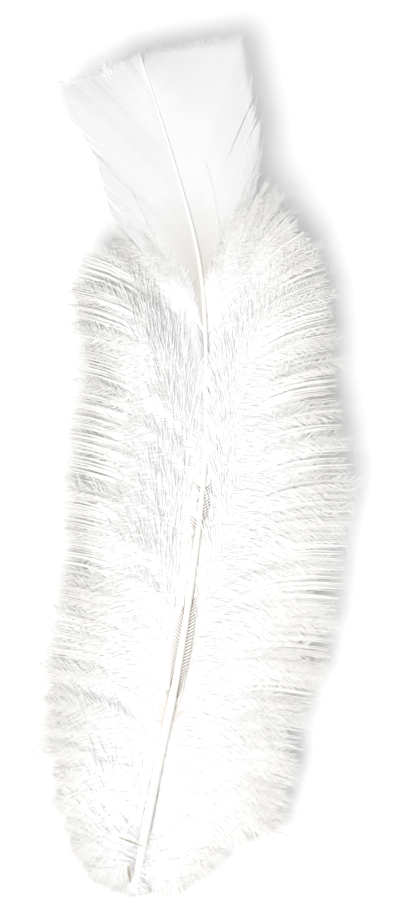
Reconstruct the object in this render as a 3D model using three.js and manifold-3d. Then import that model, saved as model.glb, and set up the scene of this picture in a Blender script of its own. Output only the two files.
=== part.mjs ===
// White downy body feather, lying on a flat surface on the down of its underside.
// Millimetres, +Z up. +Y runs along the shaft from the cut quill to the squared tip.
// The origin is on the surface, below the middle of the feather.
import * as THREE from "three";
import { mergeVertices } from "three/addons/utils/BufferGeometryUtils.js";
import Module from "manifold-3d";

const wasm = await Module();
wasm.setup();

const LEFT = -1;
const RIGHT = 1;
const UP = new THREE.Vector3(0, 0, 1);

// Room left between neighbouring pieces.
const GAP = 0.3;

// Shaft: sideways place and height of its centre line at equal steps of Y, quill end first.
const QUILL_END_Y = -74.5;
const TIP_Y = 72.5;
const SHAFT_X = [-10.7, -7.2, -3.4, -0.5, 1.6, 2.0, 0.8, -3.9, -9.8];
const SHAFT_Z = [2.6, 3.6, 5.0, 6.3, 7.2, 7.6, 7.4, 6.9, 6.4];
const QUILL_DIAMETER = 1.9;
const TIP_DIAMETER = 0.2;
const SHAFT_SIDES = 8;
const SHAFT_STEPS = 28;

// Hollow of the quill, open at its cut end.
const HOLLOW_DIAMETER = 0.9;
const HOLLOW_DEPTH = 9;

// Firm vane. A row is the place x, y where one of its barbs ends and the y where it leaves the shaft.
const VANE_THICKNESS = 0.4;
const VANE_DROOP = 1.1;
const VANE_ROWS = 24;
const VANE_COLUMNS = 4;
const LEFT_VANE_BARBS = [
  [-14.8, 44.4, 23.2], [-16.2, 49.6, 29.4], [-17.2, 53.7, 34.7], [-19.5, 57.9, 40.0],
  [-22.4, 61.4, 43.1], [-24.6, 67.4, 45.9], [-21.1, 67.9, 49.6], [-17.6, 68.8, 54.0],
  [-14.3, 70.8, 59.3], [-11.8, 71.6, 64.6], [-10.2, 72.6, 69.5],
];
const RIGHT_VANE_BARBS = [
  [10.6, 48.4, 23.2], [10.9, 51.9, 27.6], [11.3, 55.8, 32.0], [11.4, 60.5, 36.1],
  [10.6, 61.6, 36.8], [9.9, 65.5, 40.0], [9.0, 69.9, 43.1], [8.1, 75.0, 45.6],
  [5.5, 74.6, 49.6], [1.9, 74.3, 54.0], [-1.9, 73.4, 59.3], [-5.6, 72.9, 64.6], [-8.6, 72.8, 69.5],
];

// Down. A row is the place x, y where a lock ends and the y where it leaves the shaft, lowest first.
const LEFT_LOCK_COUNT = 26;
const RIGHT_LOCK_COUNT = 28;
const LEFT_DOWN_LOCKS = [
  [-13.6, -75.0, -65.3], [-17.4, -72.8, -64.9], [-21.6, -67.4, -64.2], [-24.6, -59.5, -62.5],
  [-26.9, -46.3, -57.7], [-27.5, -34.0, -47.2], [-24.8, -22.5, -37.5], [-23.8, -12.8, -27.8],
  [-24.3, -0.5, -17.2], [-22.4, 10.9, -6.7], [-20.9, 21.5, 3.0], [-22.5, 29.7, 10.0],
  [-19.9, 38.2, 16.2], [-14.6, 43.5, 22.0],
];
const RIGHT_DOWN_LOCKS = [
  [-7.4, -75.2, -65.3], [-2.0, -73.9, -64.9], [3.7, -70.0, -64.2], [9.7, -65.3, -63.0],
  [15.7, -63.2, -60.7], [18.3, -53.3, -56.8], [20.6, -42.4, -48.9], [24.6, -32.2, -40.1],
  [26.4, -21.6, -32.2], [27.5, -11.1, -23.4], [28.0, -0.5, -13.7], [26.0, 8.6, -4.9],
  [24.6, 18.8, 3.9], [24.3, 29.4, 10.9], [21.6, 38.2, 16.2], [17.8, 46.3, 19.7], [15.0, 50.9, 22.0],
];
const LOCK_SIDES = 6;
const LOCK_STEPS = 6;
const LOCK_ROOT_HALF_WIDTH = 0.5;
const LOCK_FULL_HALF_WIDTH = 3.4;
const LOCK_TIP_HALF_WIDTH = 0.3;
const LOCK_ROOT_HALF_HEIGHT = 0.5;
const LOCK_LOFT = 3.0;
const LOCK_TIP_LOW = 0.7;
const LEFT_TIP_HIGH = 3.0;
const RIGHT_TIP_HIGH = 4.6;
// Share of a lock's length after which its underside lies on the surface, and where its tip lifts off again.
const TOUCH_DOWN = 0.3;
const LIFT_OFF = 0.7;
// Bluntness of a lock's ends, seen from above, and where along it the top is highest and starts to fall.
const SWELL_POWER = 0.7;
const LOFT_POWER = 0.7;
const FALL_POWER = 1.6;
// How far one lock is longer or shorter than its neighbours, as a share of its length, and how that varies.
const LENGTH_SPREAD = 0.04;
const SPREAD_STEP = 2.4;

// Single thin wisps that stand out past the edge of the down, in the same kind of rows.
const LEFT_WISPS = [[-32.0, -50.6, -58.5], [-30.0, -34.8, -47.5], [-26.0, -3.0, -19.0]];
const RIGHT_WISPS = [[16.6, -65.6, -61.5], [29.4, -2.6, -15.0], [26.4, 18.5, 3.0]];
const WISP_SIDES = 4;
const WISP_STEPS = 5;
const WISP_ROOT_RADIUS = 0.5;
const WISP_TIP_RADIUS = 0.2;

// A lock leaves the shaft at this share of the angle from shaft to tip, and then bends away from the shaft.
const LAUNCH_SHARE = 0.42;
const ARRIVAL_BEND = THREE.MathUtils.degToRad(40);
const HANDLE_SHARE = 0.4;

const shaftPoints = SHAFT_X.map((x, i) => {
  const y = THREE.MathUtils.lerp(QUILL_END_Y, TIP_Y, i / (SHAFT_X.length - 1));
  return new THREE.Vector3(x, y, SHAFT_Z[i]);
});
const shaftLine = new THREE.CatmullRomCurve3(shaftPoints, false, "catmullrom");

// Share of the way along the shaft at a given y: the points have equal steps of y, so it is a plain ratio.
function shaftShare(y) {
  return THREE.MathUtils.clamp((y - QUILL_END_Y) / (TIP_Y - QUILL_END_Y), 0, 1);
}

function shaftRadius(t) {
  return THREE.MathUtils.lerp(QUILL_DIAMETER, TIP_DIAMETER, t) / 2;
}

// A place beside the shaft, a given room away from its surface.
function besideShaft(t, side, room) {
  const across = shaftLine.getTangent(t).cross(UP).normalize();
  return shaftLine.getPoint(t).addScaledVector(across, side * (shaftRadius(t) + room));
}

// Moves every corner of a geometry to the place that a function gives for it.
function reshape(geometry, place) {
  const corners = geometry.getAttribute("position");
  const corner = new THREE.Vector3();
  for (let i = 0; i < corners.count; i += 1) {
    corner.fromBufferAttribute(corners, i);
    const moved = place(corner.x, corner.y, corner.z);
    corners.setXYZ(i, moved.x, moved.y, moved.z);
  }
  geometry.deleteAttribute("normal");
  geometry.deleteAttribute("uv");
  return mergeVertices(geometry);
}

function solid(geometry) {
  const vertProperties = new Float32Array(geometry.getAttribute("position").array);
  const triVerts = new Uint32Array(geometry.getIndex().array);
  return new wasm.Manifold(new wasm.Mesh({ numProp: 3, vertProperties, triVerts }));
}

// A bar carried along a path: ring(t, cosine, sine) gives a corner's step across the path and its height.
function sweep(path, sides, steps, ring) {
  const bar = new THREE.CylinderGeometry(1, 1, 1, sides, steps);
  return reshape(bar, (x, y, z) => {
    const t = y + 0.5;
    const across = path.getTangent(t).cross(UP).normalize();
    const centre = path.getPoint(t);
    const corner = ring(t, x, z, centre);
    return centre.addScaledVector(across, corner.across).setZ(corner.height);
  });
}

function roundBar(path, sides, steps, radius) {
  return solid(sweep(path, sides, steps, (t, x, z, centre) => {
    return { across: x * radius(t), height: centre.z + z * radius(t) };
  }));
}

function quillHollow() {
  const end = shaftLine.getPoint(0);
  const inward = shaftLine.getTangent(0);
  const outside = end.clone().addScaledVector(inward, -1);
  const inside = end.clone().addScaledVector(inward, HOLLOW_DEPTH);
  return roundBar(new THREE.LineCurve3(outside, inside), SHAFT_SIDES, 1, () => HOLLOW_DIAMETER / 2);
}

const shaft = roundBar(shaftLine, SHAFT_SIDES, SHAFT_STEPS, shaftRadius).subtract(quillHollow());
const shaftRoom = roundBar(shaftLine, SHAFT_SIDES, SHAFT_STEPS, (t) => shaftRadius(t) + GAP);

// One side of the vane: a thin plate ruled by its barbs, which droops a little towards its outer edge.
function vane(side, barbs, thickness) {
  const plate = new THREE.BoxGeometry(1, 1, 1, VANE_COLUMNS, VANE_ROWS, 1);
  return solid(reshape(plate, (x, y, z) => {
    const outward = side === RIGHT ? x + 0.5 : 0.5 - x;
    const row = (y + 0.5) * (barbs.length - 1);
    const low = Math.min(Math.floor(row), barbs.length - 2);
    const [endX, endY, rootY] = barbs[low].map((value, i) => {
      return THREE.MathUtils.lerp(value, barbs[low + 1][i], row - low);
    });
    const t = shaftShare(rootY);
    const root = besideShaft(t, side, GAP);
    const end = new THREE.Vector3(endX, endY, root.z - VANE_DROOP);
    const place = root.clone().lerp(end, outward);
    place.z = root.z - VANE_DROOP * outward ** 2 + z * thickness;
    return place;
  }));
}

// Centre line of a lock from its row: it leaves close to the shaft's direction and bends outwards to its tip.
function lockLine(side, row, stretch) {
  const t = shaftShare(row.z);
  const root = besideShaft(t, side, GAP + LOCK_ROOT_HALF_WIDTH);
  const along = shaftLine.getTangent(t).setZ(0).normalize();
  const tip = new THREE.Vector3(row.x, row.y, root.z);
  const reach = tip.clone().sub(root).multiplyScalar(stretch);
  const angle = reach.angleTo(along);
  const arrivalAngle = angle + ARRIVAL_BEND * (1 - angle / Math.PI);
  const launch = along.clone().applyAxisAngle(UP, -side * angle * LAUNCH_SHARE);
  const arrival = along.clone().applyAxisAngle(UP, -side * arrivalAngle);
  const handle = reach.length() * HANDLE_SHARE;
  const end = root.clone().add(reach);
  return new THREE.CubicBezierCurve3(
    root,
    root.clone().addScaledVector(launch, handle),
    end.clone().addScaledVector(arrival, -handle),
    end,
  );
}

// Height of a lock at a share t of its length, from 0 at its underside to 1 at its top.
function lockHeight(side, t, rootHeight, upward) {
  const tipHigh = side === RIGHT ? RIGHT_TIP_HIGH : LEFT_TIP_HIGH;
  const fall = THREE.MathUtils.lerp(rootHeight + LOCK_ROOT_HALF_HEIGHT, tipHigh, t ** FALL_POWER);
  const high = fall + LOCK_LOFT * Math.sin(Math.PI * t ** LOFT_POWER);
  const dropped = (rootHeight - LOCK_ROOT_HALF_HEIGHT) * Math.max(0, 1 - t / TOUCH_DOWN);
  const low = dropped + LOCK_TIP_LOW * THREE.MathUtils.smoothstep(t, LIFT_OFF, 1);
  return THREE.MathUtils.lerp(low, high, upward);
}

// A tapering lock: it swells from the shaft, comes down to the surface and thins to a lifted tip.
function lock(side, row, stretch) {
  return solid(sweep(lockLine(side, row, stretch), LOCK_SIDES, LOCK_STEPS, (t, x, z, centre) => {
    const swell = Math.max(0, Math.sin(Math.PI * t)) ** SWELL_POWER;
    const slimmest = THREE.MathUtils.lerp(LOCK_ROOT_HALF_WIDTH, LOCK_TIP_HALF_WIDTH, t);
    const halfWidth = slimmest + (LOCK_FULL_HALF_WIDTH - slimmest) * swell;
    return { across: x * halfWidth, height: lockHeight(side, t, centre.z, (1 + z) / 2) };
  }));
}

// A wisp: a thin bar through the middle of the place of a lock, whose end stands out past the other tips.
function wisp(side, row) {
  return solid(sweep(lockLine(side, row, 1), WISP_SIDES, WISP_STEPS, (t, x, z, centre) => {
    const radius = THREE.MathUtils.lerp(WISP_ROOT_RADIUS, WISP_TIP_RADIUS, t);
    return { across: x * radius, height: lockHeight(side, t, centre.z, 0.5) + z * radius };
  }));
}

// The cuts can leave loose slivers beside the shaft and under the vane, so only the main body is kept.
function largestBody(cut) {
  const bodies = cut.decompose();
  bodies.sort((a, b) => b.volume() - a.volume());
  return bodies[0];
}

// All the locks and wisps of one side, grown into one mass, kept clear of the shaft and the vanes.
function down(side, rows, count, wisps, clearances) {
  const guide = new THREE.CatmullRomCurve3(rows.map((row) => new THREE.Vector3(...row)), false, "catmullrom");
  let mass = wisp(side, new THREE.Vector3(...wisps[0]));
  for (const row of wisps.slice(1)) {
    mass = mass.add(wisp(side, new THREE.Vector3(...row)));
  }
  for (let i = 0; i < count; i += 1) {
    const stretch = 1 + LENGTH_SPREAD * Math.sin(SPREAD_STEP * i);
    mass = mass.add(lock(side, guide.getPoint(i / (count - 1)), stretch));
  }
  const cleared = clearances.reduce((rest, room) => rest.subtract(room), mass);
  return largestBody(cleared);
}

function piece(name, body, color, roughness) {
  const { vertProperties, triVerts } = body.getMesh();
  const geometry = new THREE.BufferGeometry();
  geometry.setAttribute("position", new THREE.BufferAttribute(vertProperties, 3));
  geometry.setIndex(new THREE.BufferAttribute(triVerts, 1));
  geometry.computeVertexNormals();
  const mesh = new THREE.Mesh(geometry, new THREE.MeshStandardMaterial({ color, roughness, metalness: 0 }));
  mesh.name = name;
  return mesh;
}

const vaneRoom = VANE_THICKNESS + 2 * GAP;
const clearances = [
  shaftRoom,
  vane(LEFT, LEFT_VANE_BARBS, vaneRoom),
  vane(RIGHT, RIGHT_VANE_BARBS, vaneRoom),
];
const leftDown = down(LEFT, LEFT_DOWN_LOCKS, LEFT_LOCK_COUNT, LEFT_WISPS, clearances);
const rightDown = down(RIGHT, RIGHT_DOWN_LOCKS, RIGHT_LOCK_COUNT, RIGHT_WISPS, clearances);

const feather = new THREE.Group();
feather.add(piece("shaft", shaft, 0xfdfbf1, 0.35));
feather.add(piece("vane_left", vane(LEFT, LEFT_VANE_BARBS, VANE_THICKNESS), 0xf4f4f3, 0.6));
feather.add(piece("vane_right", vane(RIGHT, RIGHT_VANE_BARBS, VANE_THICKNESS), 0xf4f4f3, 0.6));
feather.add(piece("down_left", leftDown, 0xf8f7f5, 0.9));
feather.add(piece("down_right", rightDown, 0xf8f7f5, 0.9));

// The middle of the feather's box goes above the origin, and its lowest point onto the surface.
const box = new THREE.Box3().setFromObject(feather);
const middle = box.getCenter(new THREE.Vector3());
feather.position.set(-middle.x, -middle.y, -box.min.z);
feather.updateMatrixWorld(true);

export default feather;
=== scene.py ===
# %% [markdown]
# # A white downy body feather
# This lesson dresses a plain model of a loose body feather, of the kind that craft shops sell. It lies on
# its down on a white surface, and we look straight down on it. The plain model has a shaft, two thin
# vanes and two masses of down. Here each of them is grown again as what it really is: a horny rod, and
# many hundreds of fine barbs.

import bpy
import numpy as np
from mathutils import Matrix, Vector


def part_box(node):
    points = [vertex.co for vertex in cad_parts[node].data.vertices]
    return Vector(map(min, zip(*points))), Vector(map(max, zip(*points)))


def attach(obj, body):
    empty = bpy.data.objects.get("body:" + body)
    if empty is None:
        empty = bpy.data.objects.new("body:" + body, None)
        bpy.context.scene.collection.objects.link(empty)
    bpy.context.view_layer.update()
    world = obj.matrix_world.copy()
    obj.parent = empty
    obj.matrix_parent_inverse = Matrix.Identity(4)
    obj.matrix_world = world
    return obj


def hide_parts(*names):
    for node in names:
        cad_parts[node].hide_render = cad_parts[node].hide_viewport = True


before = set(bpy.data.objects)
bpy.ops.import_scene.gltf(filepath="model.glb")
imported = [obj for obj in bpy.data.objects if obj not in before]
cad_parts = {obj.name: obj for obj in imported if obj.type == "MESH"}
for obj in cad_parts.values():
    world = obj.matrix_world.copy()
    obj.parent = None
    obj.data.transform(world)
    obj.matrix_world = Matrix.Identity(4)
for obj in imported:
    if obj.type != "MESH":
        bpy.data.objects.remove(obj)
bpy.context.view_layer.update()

print("plain model:", sorted(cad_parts))

# %% [markdown]
# ## Working in millimetres
# A feather is small, so its sizes are in millimetres, and only the finished meshes are in metres. The
# plain model was moved a little so that its middle is above the origin. Two corners of the vanes tell us
# by how much: we know where they are drawn, and the frame says where they are.

# %% Find how far the plain model was moved
MM = 0.001
LEFT_CORNER_X = -24.6
RIGHT_CORNER_Y = 75.0
moved = np.array([
    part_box("vane_left")[0][0] / MM - LEFT_CORNER_X,
    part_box("vane_right")[1][1] / MM - RIGHT_CORNER_Y,
    0.0,
])
print("moved by (mm):", moved.round(3))

# %% [markdown]
# ## The line of the shaft
# The shaft leans to the right and then bends to the left towards its tip. A curve through a few points
# gives that. Blender's own curve objects could do it, but a formula lets us ask for thousands of places
# at once, which we need for the barbs. The points have equal steps of y, so a place is found from its y
# alone.

# %% Shaft line
LEFT, RIGHT = -1, 1
UP = np.array([0.0, 0.0, 1.0])
QUILL_END_Y = -74.5
TIP_Y = 72.5
SHAFT_X = [-10.7, -7.2, -3.4, -0.5, 1.6, 2.0, 0.8, -3.9, -9.8]
SHAFT_Z = [2.6, 3.6, 5.0, 6.3, 7.2, 7.6, 7.4, 6.9, 6.4]
QUILL_DIAMETER = 1.9
TIP_DIAMETER = 0.2
DIRECTION_STEP = 0.5


def smooth_through(rows, t):
    """Catmull-Rom curve through rows: a cubic between two rows, sloped by half the step across a row."""
    rows = np.asarray(rows, float)
    ends = np.vstack([2 * rows[0] - rows[1], rows, 2 * rows[-1] - rows[-2]])
    place = np.clip(t, 0, 1) * (len(rows) - 1)
    i = np.minimum(place.astype(int), len(rows) - 2)
    w = (place - i)[..., None]
    a, b, c, d = (ends[i + k] for k in range(4))
    return 0.5 * (2 * b + (c - a) * w + (2 * a - 5 * b + 4 * c - d) * w**2 + (3 * b - a - 3 * c + d) * w**3)


def smoothstep(t):
    """Rises from 0 to 1 with level ends."""
    t = np.clip(t, 0, 1)
    return t * t * (3 - 2 * t)


def rising(x, start, over):
    """From 0 at the start to 1 after a given length, with level ends."""
    return smoothstep((x - start) / over)


def falling(x, end, over):
    """From 1 at a given length before the end to 0 at the end."""
    return smoothstep((end - x) / over)


def unit(v):
    """Vectors divided by their own length."""
    return v / np.linalg.norm(v, axis=-1, keepdims=True)


def shaft_share(y):
    """How far along the shaft a given y is, from 0 at the quill's end to 1 at the tip."""
    return np.clip((y - QUILL_END_Y) / (TIP_Y - QUILL_END_Y), 0, 1)


def shaft_at(y):
    """The centre of the shaft at a given y: x and height from the smooth curve, y as it is."""
    x, z = np.moveaxis(smooth_through(np.column_stack([SHAFT_X, SHAFT_Z]), shaft_share(y)), -1, 0)
    return np.stack([x, y, z], -1)


def shaft_radius(y):
    """Half the shaft's thickness, which falls evenly from the quill to the tip."""
    return (QUILL_DIAMETER + (TIP_DIAMETER - QUILL_DIAMETER) * shaft_share(y)) / 2


def shaft_direction(y):
    """Direction of the shaft, flattened onto the surface: the step between two close places on it."""
    ahead = shaft_at(np.minimum(y + DIRECTION_STEP, TIP_Y))
    behind = shaft_at(np.maximum(y - DIRECTION_STEP, QUILL_END_Y))
    return unit((ahead - behind) * [1, 1, 0])


def beside_shaft(y, side, room):
    """A place at a given room from the shaft's centre line, level with it."""
    outward = np.cross(shaft_direction(y), UP) * side
    return shaft_at(y) + outward * np.asarray(room)[..., None]


print("shaft bends between x =", min(SHAFT_X), "and", max(SHAFT_X), "mm")

# %% [markdown]
# ## One tool for every bar
# The shaft, each barb of the vane and each barb of the down is a bar: a section carried along a path. So
# one function makes them all, for many paths at once. Its rings are closed at both ends by a fan round a
# pole, so every bar is a closed body. Extruding curves would also do it, but hundreds of curve objects
# are slow to convert and to export. Each bar gets its own upright strip of the map: its second value runs
# from 0 at the root to 1 at the tip.

# %% Bars from paths
MAP_MARGIN = 0.1
# Keeps the normal of a triangle without area from having no length.
NO_ZERO = 1e-9


def tube(steps, sides):
    """Triangles of a closed tube, two to a panel and a fan at each end; and their steps and turns."""
    i, j = (v.ravel() for v in np.meshgrid(np.arange(steps - 1), np.arange(sides), indexing="ij"))
    k = np.arange(sides)
    step = np.concatenate([
        np.stack([i, i + 1, i + 1], -1),
        np.stack([i, i + 1, i], -1),
        np.zeros((sides, 3), int),
        np.full((sides, 3), steps - 1),
    ])
    turn = np.concatenate([
        np.stack([j, j, j + 1], -1),
        np.stack([j, j + 1, j + 1], -1),
        np.stack([k + 0.5, k, k + 1], -1),
        np.stack([k + 0.5, k + 1, k], -1),
    ])
    corner = step * sides + turn.astype(int) % sides
    fans = corner[-2 * sides:]
    fans[:sides, 0] = steps * sides
    fans[sides:, 0] = steps * sides + 1
    return corner, step, turn


def bars(paths, half_width, half_height, sides, roll=0.0, along=None, share=None):
    """Closed bars: a ring round each path point, across * w * cos + rise * h * sin, turned by roll."""
    count, steps = paths.shape[:2]
    along = unit(np.gradient(paths, axis=1)) if along is None else along
    share = np.linspace(0, 1, steps) if share is None else share
    across = unit(np.cross(along, UP))
    rise = np.cross(across, along)
    angle = np.arange(sides) * (2 * np.pi / sides)
    every = np.ones((count, steps))
    wide = (half_width * every)[..., None] * np.cos(angle)
    high = (half_height * every)[..., None] * np.sin(angle)
    turned_by = (roll * every)[..., None]
    sideways = wide * np.cos(turned_by) - high * np.sin(turned_by)
    upwards = wide * np.sin(turned_by) + high * np.cos(turned_by)
    rings = paths[:, :, None] + across[:, :, None] * sideways[..., None]
    rings = rings + rise[:, :, None] * upwards[..., None]
    points = np.concatenate([rings.reshape(count, -1, 3), paths[:, :1], paths[:, -1:]], axis=1)
    corner, step, turn = tube(steps, sides)
    column = np.arange(count)[:, None, None]
    triangles = corner + column * points.shape[1]
    u = (column + MAP_MARGIN + (1 - 2 * MAP_MARGIN) * turn / sides) / count
    uv = np.stack([u, np.broadcast_to(share[step], u.shape)], -1)
    return points.reshape(-1, 3), triangles.reshape(-1, 3), uv.reshape(-1, 3, 2)


def join(*parts):
    """One set of points, triangles and map corners from several, with the later triangles counted on."""
    starts = np.cumsum([0] + [len(p[0]) for p in parts[:-1]])
    points = np.concatenate([p[0] for p in parts])
    triangles = np.concatenate([p[1] + s for p, s in zip(parts, starts)])
    uv = np.concatenate([p[2] for p in parts])
    return points, triangles, uv


def softened(points, triangles, amount):
    """Normals for triangles' corners: their own, mixed by an amount with straight up or straight down."""
    a, b, c = (points[triangles[:, i]] for i in range(3))
    own = unit(np.cross(b - a, c - a) + UP * NO_ZERO)
    mixed = unit(own * (1 - amount) + UP * amount * np.where(own[:, 2:] < 0, -1, 1))
    return np.repeat(mixed, 3, axis=0)


def put(name, data):
    """A new object in the scene that shows the given data."""
    obj = bpy.data.objects.new(name, data)
    bpy.context.scene.collection.objects.link(obj)
    return obj


def piece(name, shape, material, node, smooth=False, soften=0.0):
    """A mesh object from arrays in millimetres, which replaces a node of the plain model."""
    points, triangles, uv = shape
    mesh = bpy.data.meshes.new(name)
    mesh.vertices.add(len(points))
    mesh.vertices.foreach_set("co", ((points + moved) * MM).astype(np.float32).ravel())
    mesh.loops.add(triangles.size)
    mesh.loops.foreach_set("vertex_index", triangles.astype(np.int32).ravel())
    mesh.polygons.add(len(triangles))
    mesh.polygons.foreach_set("loop_start", np.arange(0, triangles.size, 3, dtype=np.int32))
    mesh.polygons.foreach_set("use_smooth", np.full(len(triangles), smooth))
    bake_map = mesh.uv_layers.new(name="OFBake")
    bake_map.data.foreach_set("uv", uv.astype(np.float32).ravel())
    mesh.update(calc_edges=True)
    if soften:
        mesh.normals_split_custom_set(softened(points, triangles, soften))
    mesh.materials.append(material)
    obj = put(name, mesh)
    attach(obj, "root")
    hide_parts(node)
    low, high = points.min(0), points.max(0)
    print(f"{name}: {len(triangles)} triangles, {(high - low).round(1)} mm")
    return obj


print("a square bar of two rings has", len(tube(2, 4)[0]), "triangles")

# %% [markdown]
# ## Barbules
# A barb of down is a fine rod with a great many thin barbules on both sides, which make down soft. A
# particle system could scatter hairs, but it can't be exported, so we place every barbule by arithmetic.
# It is about as thin as a hair, so a blade of four faces is enough: a point on the barb, two corners near
# its middle that are a little raised, and a point at its tip. Barbules lean towards the tip of their barb
# at about 45 degrees, each a little more or less, and the last ones before the tip are shorter.

# %% Barbules on barbs
BLADE_MIDDLE = 0.45
BLADE_RISE = 0.4
# A little off upright, so that a blade that points straight up has an across too.
ASKEW_UP = UP + np.array([0.01, 0.02, 0])
BLADE_CORNERS = 4
BLADE_FACES = np.array([(0, 2, 1), (1, 2, 3), (0, 1, 3), (0, 3, 2)])
LOWEST = 0.02
LEAN_AT_ROOT = np.radians(45)
LEAN_AT_TIP = np.radians(42)
LEAN_SPREAD = (0.45, 1.5)
# OUTER, TIP_PART and OVERLAY_PART are where a rise starts and its length, as shares of a barb.
OUTER = (0.15, 0.6)
LAST_BARBULE = 0.99
BARBULE_ROLL = 0.1
LENGTH_SPREAD = (0.6, 1.25)
FIRST_LENGTH = 0.3
GROWN_AFTER = 0.05
TIP_FINER = 0.5
TIP_PART = (0.7, 0.3)
OVERLAY_FINER = 0.5
OVERLAY_PART = (0.15, 0.5)
OVERLAY_GROWN = 0.3
FORWARD_BEND = 0.18
DROOP_BEND = 0.06


def blades(root, direction, length, bend, half_width):
    """Closed blades: a root, two corners beside the middle that are a little raised, and a bent tip."""
    across = unit(np.cross(direction, ASKEW_UP))
    rise = np.cross(across, direction)
    middle = root + direction * (BLADE_MIDDLE * length)[:, None] + rise * (BLADE_RISE * half_width)
    tip = root + direction * length[:, None] + bend
    points = np.stack([root, middle - across * half_width, middle + across * half_width, tip], axis=1)
    triangles = BLADE_FACES + (np.arange(len(root)) * BLADE_CORNERS)[:, None, None]
    return points.reshape(-1, 3), triangles.reshape(-1, 3)


def blade_map(u, v):
    """Map corners of blades: every corner of a blade has the place of its root."""
    uv = np.stack([u.ravel(), v.ravel()], -1)
    return np.broadcast_to(uv[:, None, None], (len(uv), len(BLADE_FACES), 3, 2)).reshape(-1, 3, 2)


def barbules(paths, share, bare, overlay, per_barb, root_length, tip_length, half_width, rng):
    """Barbules along each barb from its bare base to its tip, on alternate sides and leaning forwards."""
    count, steps = paths.shape[:2]
    along = unit(np.gradient(paths, axis=1))
    number = np.arange(per_barb)[None]
    jittered = number + rng.uniform(0, 1, (count, per_barb))
    s = bare[:, None] + (LAST_BARBULE - bare[:, None]) * jittered / per_barb
    place = np.interp(s, share, np.arange(steps))
    i = np.minimum(place.astype(int), steps - 2)
    w = (place - i)[..., None]
    barb = np.arange(count)[:, None]
    root = paths[barb, i] * (1 - w) + paths[barb, i + 1] * w
    ahead = unit(along[barb, i] * (1 - w) + along[barb, i + 1] * w)
    across = unit(np.cross(ahead, UP))
    rise = np.cross(across, ahead)
    outer = rising(s, *OUTER)
    lean = (LEAN_AT_ROOT + (LEAN_AT_TIP - LEAN_AT_ROOT) * outer) * rng.uniform(*LEAN_SPREAD, s.shape)
    roll = rng.normal(0, BARBULE_ROLL, s.shape)
    sign = np.where(number % 2, 1, -1)
    sideways = across * (sign * np.cos(roll))[..., None] + rise * np.sin(roll)[..., None]
    direction = unit(ahead * np.cos(lean)[..., None] + sideways * np.sin(lean)[..., None])
    grown = smoothstep((s - bare[:, None]) / (GROWN_AFTER + OVERLAY_GROWN * overlay[:, None]))
    grown = FIRST_LENGTH + (1 - FIRST_LENGTH) * grown
    finer = 1 - TIP_FINER * rising(s, *TIP_PART)
    finer *= 1 - OVERLAY_FINER * overlay[:, None] * rising(s, *OVERLAY_PART)
    length = (root_length + (tip_length - root_length) * outer) * grown * finer
    length = length * rng.uniform(*LENGTH_SPREAD, s.shape)
    bend = ahead * (FORWARD_BEND * length)[..., None] - UP * (DROOP_BEND * length)[..., None]
    points, triangles = blades(
        root.reshape(-1, 3), direction.reshape(-1, 3), length.ravel(), bend.reshape(-1, 3), half_width)
    points[:, 2] = np.maximum(points[:, 2], LOWEST)
    column = np.broadcast_to((barb + 0.5) / count, s.shape)
    return points, triangles, blade_map(column, s)


print("a barbule has", len(BLADE_FACES), "faces")

# %% [markdown]
# ## Finishes
# White feather is never plain white. The vane is a thin web that lets some light through, and the shaft
# is ivory horn with a soft shine. The down is painted whiter near its roots and a little warm and grey
# towards its ends: partly the ends' own tone, partly painted shade of the thin outer edge. The left vane
# is painted a little darker than the right, as painted shade and light that even out how the lamp falls
# on the two sides. Each barb finish is a Principled shader whose colour follows the length of the barb,
# which the map's second value holds. A Translucent shader mixed in lets light come through from behind,
# as it does through every real barb. Near the shaft some stretches are tinted darker and warmer, and a
# second ramp along the feather says where. On the down this tint is partly brownish husk and partly
# painted shade of the deep gaps between bare barb bases.

# %% Finish of vane and down
TINT_FROM, TINT_TO = -80.0, 80.0
ROOT_COLOUR_UP_TO = 0.35
PATCHES_FROM, PATCHES_TO = 0.45, 0.75
PATCH_DETAIL = 3
BARB_SHINE = 0.25
VANE_TIP_TONE, VANE_PATCH_TONE = 0.95, 0.96


def new_material(name):
    """A new material and its Principled shader."""
    material = bpy.data.materials.new(name)
    material.use_nodes = True
    return material, material.node_tree.nodes["Principled BSDF"]


def add(tree, kind, **values):
    """A new node of a kind in a tree. Each named socket gets a value, or a link from another socket."""
    node = tree.nodes.new(kind)
    for name, value in values.items():
        socket = node.inputs[name.replace("_", " ")]
        if isinstance(value, bpy.types.NodeSocket):
            tree.links.new(value, socket)
        else:
            socket.default_value = value
    return node


def ramp_of(tree, factor, stops):
    """The colour that a ramp gives for a factor; each stop is a place from 0 to 1 and a colour."""
    node = add(tree, "ShaderNodeValToRGB", Fac=factor)
    elements = node.color_ramp.elements
    while len(elements) < len(stops):
        elements.new(1.0)
    for element, (place, colour) in zip(elements, stops):
        element.position = place
        element.color = (*colour, 1)
    return node.outputs["Color"]


def colour_mix(tree, factor, a, b):
    """The colour of socket a, mixed by a factor with a fixed colour b."""
    mix = tree.nodes.new("ShaderNodeMix")
    mix.data_type = "RGBA"
    mix.inputs["B"].default_value = (*b, 1)
    tree.links.new(factor, mix.inputs["Factor"])
    tree.links.new(a, mix.inputs["A"])
    return mix.outputs["Result"]


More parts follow.
